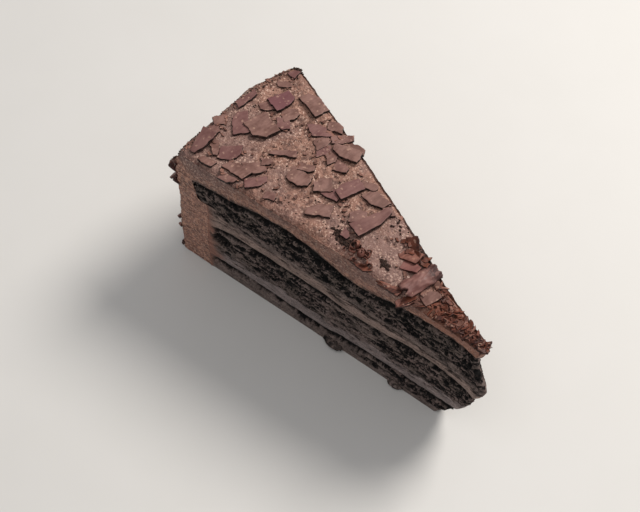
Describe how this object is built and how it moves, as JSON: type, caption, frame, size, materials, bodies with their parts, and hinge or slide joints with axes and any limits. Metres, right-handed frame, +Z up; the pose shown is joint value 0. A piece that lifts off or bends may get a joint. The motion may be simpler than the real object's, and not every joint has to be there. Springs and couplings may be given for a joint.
{
  "type": "slice of chocolate cake",
  "caption": "Wedge slice of layered dark chocolate cake with cream filling, frosting over the top and the outer side, and chocolate shavings; a dessert portion.",
  "frame": {"origin": "on the flat underside, midway between the tip and the outer side, on the middle line of the wedge", "axes": "+X towards the tip of the wedge, -X towards the frosted outer side, +Z up"},
  "size_m": [0.1324, 0.058, 0.0692],
  "materials": {
    "crumb": "matte open crumb",
    "filling": "soft satin",
    "frosting": "satin, rough and grainy",
    "shaving": "smooth satin"
  },
  "bodies": {
    "root": {"cake_bottom": "crumb", "filling_lower": "filling", "cake_middle": "crumb", "filling_upper": "filling", "cake_top": "crumb", "frosting": "frosting", "shaving_01": "shaving", "shaving_02": "shaving", "shaving_03": "shaving", "shaving_04": "shaving", "shaving_05": "shaving", "shaving_06": "shaving", "shaving_07": "shaving", "shaving_08": "shaving", "shaving_09": "shaving", "shaving_10": "shaving", "shaving_11": "shaving", "shaving_12": "shaving", "shaving_13": "shaving", "shaving_curl": "shaving"}
  },
  "joints": []
}
